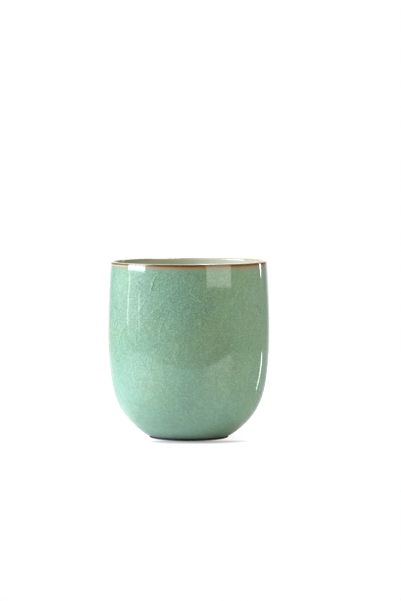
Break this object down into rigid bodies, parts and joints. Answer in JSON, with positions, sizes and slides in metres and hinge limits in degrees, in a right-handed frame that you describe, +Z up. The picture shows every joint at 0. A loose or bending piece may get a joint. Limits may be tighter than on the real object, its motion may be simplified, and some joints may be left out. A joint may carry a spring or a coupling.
{
  "type": "brush pot",
  "caption": "Round glazed stoneware pot with a full belly, a slightly narrower lip with a dark iron line, and a small dark foot, for standing brushes and pens in.",
  "frame": {"origin": "on the surface the pot stands on, under the middle of the foot ring", "axes": "+Z up along the pot's own axis, towards the open lip; +X and +Y are alike, because the pot is round"},
  "size_m": [0.091, 0.091, 0.1],
  "materials": {
    "bare_stoneware": "matte",
    "celadon_glaze": "polished",
    "celadon_glaze_inside": "polished",
    "iron_rim": "gloss",
    "iron_foot": "satin",
    "celadon_glaze_base": "polished"
  },
  "bodies": {
    "root": {"stoneware_body": "bare_stoneware", "outer_glaze": "celadon_glaze", "inner_glaze": "celadon_glaze_inside", "rim_wash": "iron_rim", "foot_wash": "iron_foot", "base_glaze": "celadon_glaze_base"}
  },
  "joints": []
}
